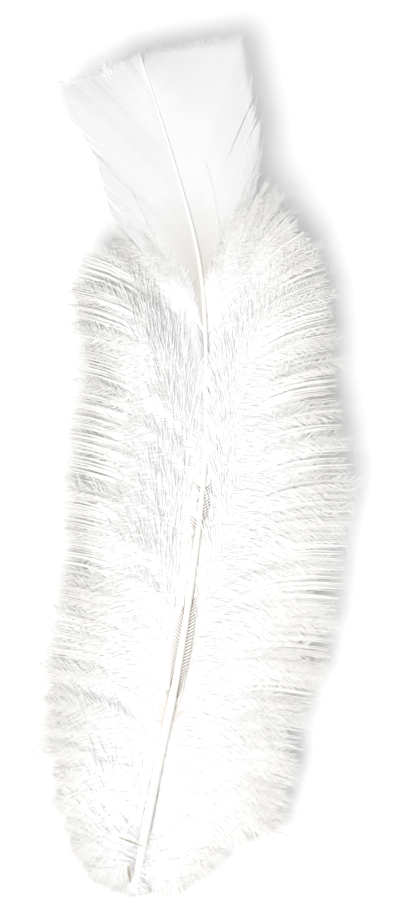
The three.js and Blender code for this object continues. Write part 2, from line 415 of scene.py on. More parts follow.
def near_shaft_amount(tree, barb_share, place, stretches, depth):
    """How strong the tint near the shaft is at a place: what the stretches give for its y, fading out along
    the barb by a depth.
    """
    feather_y = add(tree, "ShaderNodeSeparateXYZ", Vector=place).outputs["Y"]
    along = add(
        tree, "ShaderNodeMapRange", Value=feather_y, From_Min=TINT_FROM * MM, From_Max=TINT_TO * MM)
    stops = [((y - TINT_FROM) / (TINT_TO - TINT_FROM), (a, a, a)) for y, a in stretches]
    amount = ramp_of(tree, along.outputs["Result"], stops)
    fade = add(tree, "ShaderNodeMapRange", Value=barb_share, From_Max=depth, To_Min=1.0, To_Max=0.0)
    both = tree.nodes.new("ShaderNodeMath")
    both.operation = "MULTIPLY"
    tree.links.new(amount, both.inputs[0])
    tree.links.new(fade.outputs["Result"], both.inputs[1])
    return both.outputs["Value"]


def barb_finish(name, root, tip, patch, patch_size, near_shaft_tint, stretches, near_shaft_depth, see_through, roughness):
    """Colour from root to tip along the barb, with soft patches and a tint near the shaft; some light passes
    through.
    """
    material, principled = new_material(name)
    tree = material.node_tree
    barb_map = add(tree, "ShaderNodeUVMap")
    barb_map.uv_map = "OFBake"
    barb_share = add(tree, "ShaderNodeSeparateXYZ", Vector=barb_map.outputs["UV"]).outputs["Y"]
    place = add(tree, "ShaderNodeTexCoord").outputs["Object"]
    noise = add(tree, "ShaderNodeTexNoise", Vector=place, Scale=1 / (patch_size * MM), Detail=PATCH_DETAIL)
    patches = add(
        tree, "ShaderNodeMapRange", Value=noise.outputs["Fac"], From_Min=PATCHES_FROM, From_Max=PATCHES_TO)
    colour = ramp_of(tree, barb_share, [(ROOT_COLOUR_UP_TO, root), (1.0, tip)])
    colour = colour_mix(tree, patches.outputs["Result"], colour, patch)
    near_shaft_tinted = near_shaft_amount(tree, barb_share, place, stretches, near_shaft_depth)
    colour = colour_mix(tree, near_shaft_tinted, colour, near_shaft_tint)
    tree.links.new(colour, principled.inputs["Base Color"])
    principled.inputs["Roughness"].default_value = roughness
    principled.inputs["Specular IOR Level"].default_value = BARB_SHINE
    glow = add(tree, "ShaderNodeBsdfTranslucent", Color=colour)
    mix = add(tree, "ShaderNodeMixShader", Fac=see_through)
    tree.links.new(principled.outputs["BSDF"], mix.inputs[1])
    tree.links.new(glow.outputs["BSDF"], mix.inputs[2])
    tree.links.new(mix.outputs["Shader"], tree.nodes["Material Output"].inputs["Surface"])
    return material


# A stretch of tint is a y along the feather and how strong the tint near the shaft is there.
# The left vane's white is painted a little darker than the right's: painted shade and painted light that
# even out how the key light falls on the two sides. Both vanes are tinted darker and warmer near the shaft
# at their lower end.
vane_finishes = {
    side: barb_finish(
        name, root=(white,) * 3, tip=(VANE_TIP_TONE * white,) * 3, patch=(VANE_PATCH_TONE * white,) * 3,
        patch_size=14, near_shaft_tint=(0.72, 0.69, 0.64), stretches=[(20, 1.0), (34, 0.8), (48, 0.0)],
        near_shaft_depth=0.6, see_through=0.2, roughness=0.55)
    for side, name, white in ((LEFT, "firm_vane_left_painted_darker", 0.865), (RIGHT, "firm_vane_right_painted_lighter", 0.885))
}
# The down is painted darker and warmer towards its barbs' tips: partly the ends' own tone, partly painted
# shade of the thin outer edge. Beside the bare stretches of the shaft its barb bases are tinted brown:
# partly husk, partly painted shade of the deep gaps between them.
down_finish = barb_finish(
    "soft_down", root=(0.992, 0.992, 0.992), tip=(0.92, 0.912, 0.895), patch=(0.972, 0.97, 0.964),
    patch_size=9, near_shaft_tint=(0.84, 0.78, 0.70),
    stretches=[(-48, 0.0), (-44, 0.8), (-31, 0.7), (-21, 0.2), (-12, 0.4), (0, 0.0)],
    near_shaft_depth=0.07, see_through=0.25, roughness=0.8)
print("barb finishes:", *(m.name for m in vane_finishes.values()), down_finish.name)

# %% Finishes of horn and husk
STREAK_UP_TO, COLOUR_FROM = 0.3, 0.6


def streaked_finish(name, colour, streak, across_size, along_size, roughness):
    """Two colours in fine streaks along the shaft, from noise stretched along its length."""
    material, principled = new_material(name)
    tree = material.node_tree
    place = add(tree, "ShaderNodeTexCoord").outputs["Object"]
    scale = (1 / (across_size * MM), 1 / (along_size * MM), 1 / (across_size * MM))
    stretch = add(tree, "ShaderNodeMapping", Vector=place, Scale=scale)
    noise = add(tree, "ShaderNodeTexNoise", Vector=stretch.outputs["Vector"], Scale=1.0)
    streaks = ramp_of(tree, noise.outputs["Fac"], [(STREAK_UP_TO, streak), (COLOUR_FROM, colour)])
    tree.links.new(streaks, principled.inputs["Base Color"])
    principled.inputs["Roughness"].default_value = roughness
    return material


# The last three numbers are the streaks' sizes across and along the shaft, and the roughness.
shaft_finish = streaked_finish("ivory_shaft", (0.93, 0.92, 0.885), (0.89, 0.87, 0.82), 0.33, 8.0, 0.35)
shaft_skin = shaft_finish.node_tree.nodes["Principled BSDF"].inputs
shaft_skin["Subsurface Weight"].default_value = 0.2
shaft_skin["Subsurface Radius"].default_value = (0.6, 0.55, 0.4)
shaft_skin["Subsurface Scale"].default_value = MM
# The stubs' dark brown is partly husk and partly painted shade of the gaps between bare barb bases.
husk_and_shade_finish = streaked_finish("brown_husk_and_painted_shade", (0.24, 0.18, 0.13), (0.14, 0.10, 0.07), 0.4, 1.2, 0.8)
pale_finish = streaked_finish("pale_husk", (0.96, 0.955, 0.94), (0.92, 0.91, 0.88), 0.4, 3.0, 0.8)
# Dark colour of the splinter, and of the wedge at the quill's end, which is painted shade.
splinter_and_shade_finish = streaked_finish("dark_splinter_and_painted_shade", (0.50, 0.47, 0.39), (0.30, 0.28, 0.22), 0.4, 1.2, 0.7)
print("shaft finishes:", shaft_finish.name, husk_and_shade_finish.name, pale_finish.name, splinter_and_shade_finish.name)

# %% [markdown]
# ## The shaft
# The shaft is one horny rod. Its lower end is the quill, a hollow tube that was cut or pulled from the
# skin. The path of the bar runs from the tip down the outside to the cut end, then turns back up inside
# for a short way, so that the hollow is real.

# %% Make the shaft
SHAFT_SIDES = 20
SHAFT_STEPS = 140
HOLLOW_STEPS = 8
HOLLOW_DEPTH = 9.0
HOLLOW_RADIUS = 0.45


def shaft_shape():
    """A round section carried down the shaft line, then back up inside the quill, as wide as the hollow."""
    outer_y = np.linspace(TIP_Y, QUILL_END_Y, SHAFT_STEPS)
    inner_y = np.linspace(QUILL_END_Y, QUILL_END_Y + HOLLOW_DEPTH, HOLLOW_STEPS)
    y = np.concatenate([outer_y, inner_y])
    radius = np.concatenate([shaft_radius(outer_y), np.full(HOLLOW_STEPS, HOLLOW_RADIUS)])
    return bars(shaft_at(y)[None], radius, radius, SHAFT_SIDES, along=-shaft_direction(y)[None])


piece("shaft", shaft_shape(), shaft_finish, "shaft", smooth=True)

# %% [markdown]
# ## Dry husk, a splinter and painted shade on the shaft
# In a few stretches the barbs are bare beside the shaft, and dry husk shows there: a thin pale strip on
# the shaft's flank, crossed by short brown stubs that slant up and out. The stubs' dark brown is partly
# husk and partly painted shade of the dark gaps between bare barb bases. A dark splinter lies over the
# quill; it is dirt of the real feather, so it stays. A small dark wedge at the quill's broken end is
# painted shade of the gap beside its hollow end.

# %% Make the husk
# A stretch is the y of its lower and its upper end. There barbs are bare beside the shaft.
BARE_STRETCHES = {
    LEFT: [(-4.9, -2.3), (-12.0, -8.4), (-39.2, -24.3)],
    RIGHT: [(-10.2, -2.3), (-41.0, -22.5)],
}
BARE_BELOW = 2.5
STRIP_STEPS = 24
STRIP_HALF_WIDTH = 0.5
STRIP_MORE = 1.4
STRIP_RISE = 0.15
STRIP_OUT = 0.8
STRIP_ENDS = (0.03, 0.97)
STRIP_HALF_THICKNESS = 0.06
STUB_PITCH = 0.58
STUB_STEPS = 4
STUB_ROOT = 0.8
STUB_SHORTEST = 0.4
STUB_TAPER = 0.4
STUB_RISE = 0.3
STUB_LIFT = 0.3
STUB_OUT = 1.2
STUB_UP = 0.9
STUB_HALF_WIDTH = {LEFT: 0.06, RIGHT: 0.075}
# A dark bar is its two ends and its half width: first the splinter, then the wedge of painted shade at the
# quill's broken end.
SPLINTER_AND_WEDGE = [
    ((-13.3, -64.7, 6.2), (-9.0, -66.4, 5.4), 0.16),
    # The wedge at the quill's broken end: painted shade of the gap beside the hollow end.
    ((-11.7, -69.8, 4.9), (-11.3, -72.8, 4.5), 0.34),
]
DARK_BAR_STEPS = 8
DARK_BAR_ENDS = 0.4


def bareness(side, root_y):
    """How bare a barb is by the y of its root: 1 in a stretch, rising below it and falling at its top."""
    rows = BARE_STRETCHES[side]
    return sum(smoothstep(root_y - low + BARE_BELOW) * smoothstep(high - root_y) for low, high in rows)


def husk_strip(side, low, high):
    """A flat bar along the shaft's flank, narrowing to its ends as the root of a sine."""
    y = np.linspace(low, high + STRIP_MORE, STRIP_STEPS)
    path = beside_shaft(y, side, shaft_radius(y) + STRIP_OUT * STRIP_HALF_WIDTH) + UP * STRIP_RISE
    width = STRIP_HALF_WIDTH * np.sqrt(np.sin(np.pi * np.linspace(*STRIP_ENDS, STRIP_STEPS)))
    return bars(path[None], width, STRIP_HALF_THICKNESS, sides=6)


def husk_and_shade_stubs(side, low, high):
    """Short stubs that slant up and out of the flank, one to each pitch, thinning to their ends: husk,
    darkened as painted shade.
    """
    y = np.arange(np.ceil(low / STUB_PITCH) + 0.5, (high - STUB_UP) / STUB_PITCH) * STUB_PITCH
    s = np.linspace(0, 1, STUB_STEPS)
    way = y[:, None] + STUB_UP * s
    size = STUB_SHORTEST + (1 - STUB_SHORTEST) * np.sin(np.pi * np.clip((y - low) / (high - low), 0, 1))
    room = shaft_radius(way) * STUB_ROOT + STUB_OUT * size[:, None] * s
    path = beside_shaft(way.ravel(), side, room.ravel()).reshape(len(y), len(s), 3)
    path += UP * (STUB_RISE + STUB_LIFT * s)[:, None]
    width = STUB_HALF_WIDTH[side] * (1 - STUB_TAPER * s)
    return bars(path, width, width, sides=4)


def dark_bar(start, end, half_width):
    """A straight bar, thickest in its middle."""
    s = np.linspace(0, 1, DARK_BAR_STEPS)[:, None]
    path = np.array(start) * (1 - s) + np.array(end) * s
    width = half_width * (DARK_BAR_ENDS + (1 - DARK_BAR_ENDS) * np.sin(np.pi * s[:, 0]))
    return bars(path[None], width, width, sides=5)


bare_rows = [(side, low, high) for side, rows in BARE_STRETCHES.items() for low, high in rows]
strips = [husk_strip(*row) for row in bare_rows]
stubs = [husk_and_shade_stubs(*row) for row in bare_rows]
splinter_and_wedge = [dark_bar(*row) for row in SPLINTER_AND_WEDGE]
piece("shaft_husk", join(*strips), pale_finish, "shaft")
piece("shaft_stubs", join(*stubs), husk_and_shade_finish, "shaft")
piece("shaft_splinter_and_shade_wedge", join(*splinter_and_wedge), splinter_and_shade_finish, "shaft")

# %% [markdown]
# ## The vane
# The firm vane is a web of barbs that hook into each other. Each barb leaves the shaft at about thirty
# degrees and runs nearly straight to the edge. We make every barb as a flat ribbon, a little wider than
# the room that it has, and roll it slightly so that the ribbons overlap like tiles. That gives the fine
# slanting lines of a real vane. A few places come unhooked: there the ribbons on both sides of a split
# are pushed apart.

# %% Where the vane's barbs start and end
# A row is the place x, y where a barb ends and the y where it leaves the shaft.
VANE_BARBS = {
    LEFT: [
        (-14.8, 44.4, 23.2), (-16.2, 49.6, 29.4), (-17.2, 53.7, 34.7), (-19.5, 57.9, 40.0),
        (-22.4, 61.4, 43.1), (-24.6, 67.4, 45.9), (-21.1, 67.9, 49.6), (-17.6, 68.8, 54.0),
        (-14.3, 70.8, 59.3), (-11.8, 71.6, 64.6), (-10.2, 72.6, 69.5),
    ],
    RIGHT: [
        (10.6, 48.4, 23.2), (10.9, 51.9, 27.6), (11.3, 55.8, 32.0), (11.4, 60.5, 36.1),
        (10.6, 61.6, 36.8), (9.9, 65.5, 40.0), (9.0, 69.9, 43.1), (8.1, 75.0, 45.6),
        (5.5, 74.6, 49.6), (1.9, 74.3, 54.0), (-1.9, 73.4, 59.3), (-5.6, 72.9, 64.6),
        (-8.6, 72.8, 69.5),
    ],
}
VANE_COUNT = 150
VANE_STEPS = 14
VANE_DROOP = 1.1
VANE_BOW = 0.03
VANE_ROOT = 0.6
VANE_SHORTER = 0.02
# A wave across the web is its height, its length over two pi, and its start.
WAVES = [(0.12, 2.3, 0.0), (0.04, 0.9, 1.0)]
VANE_OVERLAP = 0.62
VANE_HALF_THICKNESS = 0.015
RIBBON_HALF_WIDTHS = (0.06, 0.5)
RIBBON_TIP_FINER = 0.6
RIBBON_TIP = (0.96, 0.04)
VANE_ROLL = np.radians(2)
ROLL_SPREAD = np.radians(0.8)
ROLL_RUN = 5
# A split is the y where its barb leaves the shaft, the share of the barb where it opens and half its width.
SPLITS = {
    LEFT: [
        (38.5, 0.72, 0.22), (41.5, 0.80, 0.25), (30.0, 0.55, 0.16), (26.5, 0.45, 0.20),
        (60.0, 0.9, 0.2),
    ],
    RIGHT: [
        (39.0, 0.35, 0.32), (36.4, 0.60, 0.22), (33.0, 0.55, 0.12), (30.0, 0.50, 0.18),
        (27.0, 0.45, 0.25),
    ],
}
SPLIT_REACH = 1.2


def vane_paths(side, rng):
    """Paths of one side's ribbons, slightly bowed and drooping with the square of s, and their room."""
    rows = np.array(VANE_BARBS[side])
    root_y = np.linspace(rows[0, 2], rows[-1, 2], VANE_COUNT)
    end = np.stack([np.interp(root_y, rows[:, 2], rows[:, i]) for i in range(2)], -1)
    direction = shaft_direction(root_y)
    root = beside_shaft(root_y, side, VANE_ROOT * shaft_radius(root_y))
    tip = np.concatenate([end, root[:, 2:] - VANE_DROOP], -1)
    reach = (tip - root) * (1 - rng.uniform(0, VANE_SHORTER, VANE_COUNT))[:, None]
    s = np.linspace(0, 1, VANE_STEPS)[None]
    bow = VANE_BOW * np.linalg.norm(reach, axis=-1)[:, None] * np.sin(np.pi * s)
    paths = root[:, None] + reach[:, None] * s[..., None] + direction[:, None] * bow[..., None]
    wave = sum(height * np.sin(root_y / length + start) for height, length, start in WAVES)
    paths[..., 2] = root[:, 2:] - VANE_DROOP * s**2 + wave[:, None] * s
    along = unit(np.gradient(paths, axis=1))
    step = np.gradient(paths, axis=0)
    room = np.linalg.norm(step - along * (step * along).sum(-1, keepdims=True), axis=-1)
    for split_y, opens, half_width in SPLITS[side]:
        away = root_y - split_y
        push = half_width * np.sign(away) * np.exp(-np.abs(away) / SPLIT_REACH)
        paths += direction[:, None] * (push[:, None] * rising(s, opens, 1 - opens))[..., None]
    return paths, room


def vane_ribbons(paths, room, rng):
    """Flat bars as wide as the room between unsplit paths, times the overlap, thinning to a fine tip."""
    s = np.linspace(0, 1, VANE_STEPS)
    half_width = np.clip(VANE_OVERLAP * room, *RIBBON_HALF_WIDTHS)
    half_width = half_width * (1 - RIBBON_TIP_FINER * rising(s, *RIBBON_TIP))
    jitter = np.convolve(rng.normal(0, 1, VANE_COUNT + ROLL_RUN - 1), np.ones(ROLL_RUN) / ROLL_RUN, "valid")
    roll = -VANE_ROLL - ROLL_SPREAD * jitter
    return bars(paths, half_width, VANE_HALF_THICKNESS, sides=4, roll=roll[:, None])


print("ribbons in a vane:", VANE_COUNT)

# %% [markdown]
# ## Fringe and loose barbs of the vane
# The edge of a vane is not cut clean. Past the end of each ribbon stand a few hairs, the longest on the
# squared end. Here and there a whole barb has come loose and lies on the web or stands off its edge, with
# short barbules of its own. A loose barb is a quadratic Bezier curve at the height of the nearest ribbon.

# %% Make the vanes
FRINGE_HAIRS = 4
FRINGE_START = 0.5
FRINGE_TURN = 0.25
FRINGE_LIFT = 0.08
FRINGE_LENGTH, FRINGE_MORE = 0.8, 0.8
FRINGE_SPREAD = (0.6, 1.4)
FRINGE_HALF_WIDTH = 0.03
SQUARED_END = (63.0, 4.0)
# A loose barb is three points x, y: its start, a point that it bends towards, and its end.
LOOSE_BARBS = {
    LEFT: [
        ((-7.0, 40.0), (-9.4, 44.2), (-11.4, 48.8)), ((-3.5, 31.0), (-7.0, 38.0), (-9.6, 41.5)),
        ((-14.6, 68.0), (-15.3, 69.4), (-14.6, 70.9)), ((-15.3, 68.2), (-16.0, 69.6), (-15.9, 71.1)),
        ((-22.8, 65.8), (-24.0, 67.2), (-25.0, 68.4)), ((-21.9, 66.4), (-23.0, 68.2), (-23.3, 69.2)),
        ((-15.0, 52.0), (-16.7, 53.8), (-18.2, 54.8)), ((-13.0, 45.0), (-15.0, 47.6), (-16.6, 48.6)),
        ((-11.5, 43.0), (-13.8, 46.0), (-15.6, 46.9)),
    ],
    RIGHT: [
        ((4.8, 38.2), (3.9, 46.0), (1.8, 53.2)), ((3.4, 30.0), (4.6, 37.0), (4.0, 43.0)),
        ((8.4, 44.4), (10.2, 54.0), (11.9, 61.6)), ((7.6, 48.8), (9.9, 57.6), (10.9, 65.2)),
        ((9.2, 44.0), (11.2, 52.0), (12.0, 57.8)), ((6.4, 45.0), (9.4, 52.0), (11.9, 55.0)),
        ((5.4, 42.0), (8.6, 48.0), (11.8, 51.5)), ((8.8, 60.0), (9.7, 65.0), (9.9, 69.0)),
    ],
}
LOOSE_STEPS = 10
LOOSE_RISE, LOOSE_START = 0.12, 0.5
LOOSE_RADIUS, LOOSE_TAPER = 0.045, 0.4
LOOSE_BARBULES = 70
LOOSE_BARBULE_LENGTH = 0.8
VANE_SEED = 11


def vane_fringe(paths, rng):
    """Fine hairs past each ribbon's end, turned a little from its direction, longest on the squared end."""
    count = len(paths)
    ahead = np.repeat(unit(paths[:, -1] - paths[:, -2]), FRINGE_HAIRS, axis=0)
    root = np.repeat(paths[:, -1], FRINGE_HAIRS, axis=0) - ahead * FRINGE_START
    turn = rng.normal(0, FRINGE_TURN, len(root))[:, None]
    lift = rng.normal(0, FRINGE_LIFT, len(root))[:, None]
    direction = unit(ahead + np.cross(ahead, UP) * turn + UP * lift)
    squared = rising(root[:, 1], *SQUARED_END)
    length = (FRINGE_LENGTH + FRINGE_MORE * squared) * rng.uniform(*FRINGE_SPREAD, len(root))
    points, triangles = blades(root, direction, length, 0 * root, FRINGE_HALF_WIDTH)
    column = (np.repeat(np.arange(count), FRINGE_HAIRS) + 0.5) / count
    return points, triangles, blade_map(column, np.ones(len(root)))


def loose_paths(side, web):
    """Quadratic Bezier curves on the loose barbs' points, lifted a little more towards their ends."""
    a, b, c = np.moveaxis(np.array(LOOSE_BARBS[side]), 1, 0)[:, :, None]
    s = np.linspace(0, 1, LOOSE_STEPS)[None, :, None]
    flat = a * (1 - s) ** 2 + 2 * b * s * (1 - s) + c * s**2
    web = web.reshape(-1, 3)
    away = ((flat[:, :, None] - web[None, None, :, :2]) ** 2).sum(-1)
    height = web[away.argmin(-1), 2] + LOOSE_RISE * (LOOSE_START + s[..., 0])
    return np.concatenate([flat, height[..., None]], -1)


def make_vane(side, name, rng):
    """One side of the vane: ribbons with a fringe past their ends, and loose barbs with barbules."""
    web, room = vane_paths(side, rng)
    ribbons = vane_ribbons(web, room, rng)
    hairs = vane_fringe(web, rng)
    piece(name, join(ribbons, hairs), vane_finishes[side], name)
    loose = loose_paths(side, web)
    radius = LOOSE_RADIUS * np.linspace(1, LOOSE_TAPER, LOOSE_STEPS)
    rods = bars(loose, radius, radius, sides=3)
    none = np.zeros(len(loose))
    fluff = barbules(
        loose, np.linspace(0, 1, LOOSE_STEPS), none, none, LOOSE_BARBULES,
        LOOSE_BARBULE_LENGTH, LOOSE_BARBULE_LENGTH / 2, FRINGE_HALF_WIDTH, rng)
    piece(f"{name}_loose", join(rods, fluff), down_finish, name)


for side, name in ((LEFT, "vane_left"), (RIGHT, "vane_right")):
    make_vane(side, name, np.random.default_rng(VANE_SEED + side))

# %% [markdown]
# ## The down
# Below the vane the barbs don't hook together. Each leaves the shaft close to its direction, sweeps up
# and bends out to the edge, where it hovers a little above the surface. Barbs that grow side by side
# cling together in strands. At the quill they fan out and lie over its end, and at the top they lie over
# the lowest part of the vane. A root that sits on top of the shaft lifts only the first part of its barb.
# All barbs are placed between a few rows of numbers.

# %% Where the down's barbs start and end
# A row is the place x, y of the tip, the y of the root, and the heights of the lowest and the highest
# tips there.
DOWN_BARBS = {
    LEFT: [
        (-9.6, -75.2, -73.6, 1.2, 2.6), (-11.6, -75.2, -72.4, 1.0, 3.0), (-13.6, -74.4, -70.6, 0.5, 2.8),
        (-17.4, -72.8, -68.2, 0.5, 2.8), (-21.6, -67.4, -65.6, 0.5, 3.0), (-24.6, -59.5, -62.5, 0.5, 3.2),
        (-26.9, -46.3, -57.7, 0.5, 4.2), (-27.5, -34.0, -47.2, 0.5, 4.2), (-24.8, -22.5, -37.5, 0.5, 4.2),
        (-23.8, -12.8, -27.8, 0.5, 4.2), (-24.3, -0.5, -17.2, 0.5, 4.2), (-22.4, 10.9, -6.7, 0.5, 4.2),
        (-20.9, 21.5, 3.0, 0.5, 4.2), (-22.5, 29.7, 10.0, 0.5, 4.2), (-19.9, 38.2, 16.2, 0.5, 4.5),
        (-14.6, 43.5, 22.0, 5.4, 6.5), (-11.4, 43.0, 23.0, 6.4, 7.1), (-8.4, 39.0, 23.6, 6.8, 7.4),
        (-5.6, 33.5, 24.2, 7.0, 7.6),
    ],
    RIGHT: [
        (-10.2, -75.2, -73.6, 1.2, 2.6), (-8.8, -75.0, -72.4, 1.0, 3.0), (-7.4, -74.4, -71.0, 0.5, 2.8),
        (-2.0, -73.9, -68.6, 0.5, 3.0), (3.7, -70.0, -66.4, 0.5, 3.2), (9.7, -65.3, -64.2, 0.5, 3.4),
        (15.7, -63.2, -61.4, 0.5, 3.6), (18.3, -53.3, -56.8, 0.5, 4.0), (20.6, -42.4, -48.9, 0.5, 4.4),
        (24.6, -32.2, -40.1, 0.5, 5.0), (26.4, -21.6, -32.2, 0.5, 5.0), (27.5, -11.1, -23.4, 0.5, 5.0),
        (28.0, -0.5, -13.7, 0.5, 5.0), (26.0, 8.6, -4.9, 0.5, 5.0), (24.6, 18.8, 3.9, 0.5, 5.0),
        (24.3, 29.4, 10.9, 0.5, 5.0), (21.6, 38.2, 16.2, 0.5, 5.0), (17.8, 46.3, 19.7, 2.5, 6.0),
        (15.0, 50.9, 22.0, 5.4, 6.6), (11.6, 51.0, 23.0, 6.4, 7.2), (8.6, 47.4, 23.6, 6.8, 7.4),
        (5.6, 43.5, 24.2, 7.0, 7.6), (4.4, 37.0, 24.8, 7.1, 7.7),
    ],
}
# Single long wisps past the edge, in the same kind of rows.
WISPS = {
    LEFT: [
        (-30.0, -34.8, -47.5, 1.5, 4.2), (-32.0, -50.6, -58.5, 1.5, 4.0), (-26.0, -3.0, -19.0, 1.5, 4.2),
    ],
    RIGHT: [
        (29.4, -2.6, -15.0, 2.0, 5.0), (26.4, 18.5, 3.0, 2.0, 5.0), (16.6, -65.6, -61.5, 1.0, 3.6),
    ],
}
DOWN_COUNT = 460
DOWN_STEPS = 12
ROOT_CROWDING = 1.7
STEP_SHARE = np.linspace(0, 1, DOWN_STEPS) ** ROOT_CROWDING
TIP_WEIGHT = 0.6
FAN_MORE, TOP_MORE = 1.0, 0.9
# A pair is the start and the length of a rise, or the end and the length of a fall.
TOP = (-8.0, 18.0)
LAUNCH_SHARE = 0.42
STRAIGHT = (np.radians(90), np.radians(80))
FAN = (-48.0, 18.0)
OPENS = (12.0, 8.0)
OPENING = 0.6
ARRIVAL_BEND = np.radians(40)
BEND = (np.radians(10), np.radians(40))
HANDLE_SHARE = 0.4
ROOT_ROOM, ROOT_LIFT = 0.7, 0.1
ROOT_KICK = 0.15
BARE_KICK = 0.25
KICK_RUN = 0.9
COVER_RUN = 2.5
LOFT = {LEFT: 2.6, RIGHT: 3.0}
CREST = {LEFT: 1.9, RIGHT: 0.9}
LOFT_DROP = 2.0
LOFT_END = (20.0, 12.0)
TOUCH_DOWN = 0.3
FALL_POWER = 1.6
LAYERS_FROM = 0.25


def turned(v, angle):
    """Vectors turned about the upright axis, anticlockwise seen from above."""
    c, s = np.cos(angle)[:, None], np.sin(angle)[:, None]
    x, y, z = v[:, :1], v[:, 1:2], v[:, 2:]
    return np.concatenate([x * c - y * s, x * s + y * c, z], -1)


def barb_paths(side, rows, layer, cover):
    """Barb paths: a cubic Bezier seen from above, at a height between the down's underside and its top."""
    root_y, lowest, highest = rows[:, 2], rows[:, 3:4], rows[:, 4:5]
    direction = shaft_direction(root_y)
    radius = shaft_radius(root_y)
    root = beside_shaft(root_y, side, radius * (ROOT_ROOM - cover)) + UP * (radius * ROOT_LIFT)[:, None]
    reach = np.column_stack([rows[:, :2] - root[:, :2], np.zeros(len(rows))])
    length = np.linalg.norm(reach, axis=-1)[:, None]
    angle = np.arccos(np.clip((unit(reach) * direction).sum(-1), -1, 1))
    fanned = falling(root_y, *FAN)
    opened = OPENING * rising(root_y, *OPENS)
    straight = np.maximum.reduce([rising(angle, *STRAIGHT), fanned, opened])
    launch = turned(direction, -side * angle * (LAUNCH_SHARE + (1 - LAUNCH_SHARE) * straight))
    bend = ARRIVAL_BEND * rising(angle, *BEND) * (1 - angle / np.pi)
    arrival = turned(direction, -side * (angle + bend))
    handle = length * HANDLE_SHARE
    tip = root + reach
    corners = (root, root + launch * handle, tip - arrival * handle, tip)
    a, b, c, d = (v[:, None] for v in corners)
    s = STEP_SHARE[None, :, None]
    paths = a * (1 - s) ** 3 + 3 * b * (1 - s) ** 2 * s + 3 * c * (1 - s) * s**2 + d * s**3
    s = STEP_SHARE[None]
    outward = np.cross(direction, UP) * side
    kick = ROOT_KICK + BARE_KICK * bareness(side, root_y)[:, None]
    kick = kick * (1 - np.exp(-s * length / KICK_RUN) - s)
    paths += outward[:, None] * kick[..., None]
    lofty = smoothstep((root[:, 2:] - highest) / LOFT_DROP)
    lofty = lofty * falling(root_y, *LOFT_END)[:, None]
    rise = LOFT[side] * lofty * np.sin(np.pi * s ** CREST[side])
    top = root[:, 2:] + (highest - root[:, 2:]) * s**FALL_POWER
    low = lowest + (root[:, 2:] - lowest) * np.maximum(0, 1 - s / TOUCH_DOWN)
    spread = smoothstep(s / LAYERS_FROM)
    paths[..., 2] = top * (1 - spread) + (low + (top + rise - low) * layer[:, None]) * spread
    paths[..., 2] += (radius * cover)[:, None] * np.exp(-s * length / COVER_RUN)
    return paths


print("down tips run from", DOWN_BARBS[LEFT][0][:2], "to", DOWN_BARBS[LEFT][-1][:2], "on the left")

# %% [markdown]
# ## Strands
# Each barb is placed twice: on its own, and at the middle of its strand. Near the shaft its path is its
# own, and further out it is drawn towards its strand, then spreads a little again at the tip. Strands
# differ in length, direction and height, which keeps the edge soft and uneven.

# %% Paths of the down's barbs
ROOT_PITCH = 0.48
PLACE_JITTER = (0.1, 0.9)
FINE_STEPS = 2000
STRAND_SIZE = 2.2
STRAND_PULL = 0.22
STRAND_LENGTHS = (0.86, 1.0)
PULL = (0.15, 0.4)
SPREAD = (0.75, 0.25)
SWAY, SWAY_TURN = 0.3, 4.5
UNDER_SHARE = 0.4
UNDER_DEPTH, UNDER_POWER = 0.95, 1.5
OWN_SHORTER = 0.16
OWN_TURN = np.radians(2.5)
STRAND_TURN = np.radians(1)
TOP_LAYERS = (0.985, 1.0)
LAYER_NOISE = 0.004
STRAND_SPREAD = 0.35
COVERED_FROM, COVERED_TO, COVERED_OVER = -3.0, 14.0, 4.0
MOST_COVER = 1.1
QUILL_COVERED = (-61.0, 10.0)
QUILL_COVER_SHARE = 0.6
OVERLAY = (11.0, 12.0)
OVERLAY_SHORTER = 0.2


def barb_shares(rows, count, rng):
    """Places of barbs among the rows, at equal steps of a way that mixes those of the tips and the roots."""
    fine = np.linspace(0, 1, FINE_STEPS)
    step = np.diff(smooth_through(rows, fine), axis=0)
    way = TIP_WEIGHT * np.hypot(step[:, 0], step[:, 1]) + (1 - TIP_WEIGHT) * np.abs(step[:, 2])
    root_y = smooth_through(rows, fine)[1:, 2]
    way *= 1 + FAN_MORE * falling(root_y, *FAN)
    way *= 1 + TOP_MORE * rising(root_y, *TOP)
    way = np.concatenate([[0], np.cumsum(way)])
    place = (np.arange(count) + rng.uniform(*PLACE_JITTER, count)) / count
    return np.interp(place * way[-1], way, fine)


def with_tips(rows, stretch, turn):
    """Rows whose tips are moved: the reach from the shaft is turned and stretched."""
    root = shaft_at(rows[:, 2]) * [1, 1, 0]
    tip = np.column_stack([rows[:, :2], np.zeros(len(rows))])
    tip = root + turned(tip - root, turn) * stretch[:, None]
    return np.column_stack([tip[:, :2], rows[:, 2:]])


def shaft_cover(root_y, rng):
    """How far a barb's root sits on top of the shaft: by chance where down hides the shaft or the quill."""
    middle = rising(root_y, COVERED_FROM, COVERED_OVER) * falling(root_y, COVERED_TO, COVERED_OVER)
    quill = falling(root_y, *QUILL_COVERED)
    quill = quill * (rng.uniform(size=len(root_y)) < QUILL_COVER_SHARE)
    middle = middle * rng.uniform(0, MOST_COVER, len(root_y))
    return np.maximum(middle, quill * rng.uniform(0, 1, len(root_y)))


def overlay_share(root_y):
    """How much a barb belongs to the thin down over the vane: from 0 below to 1 at the highest roots."""
    return rising(root_y, *OVERLAY)


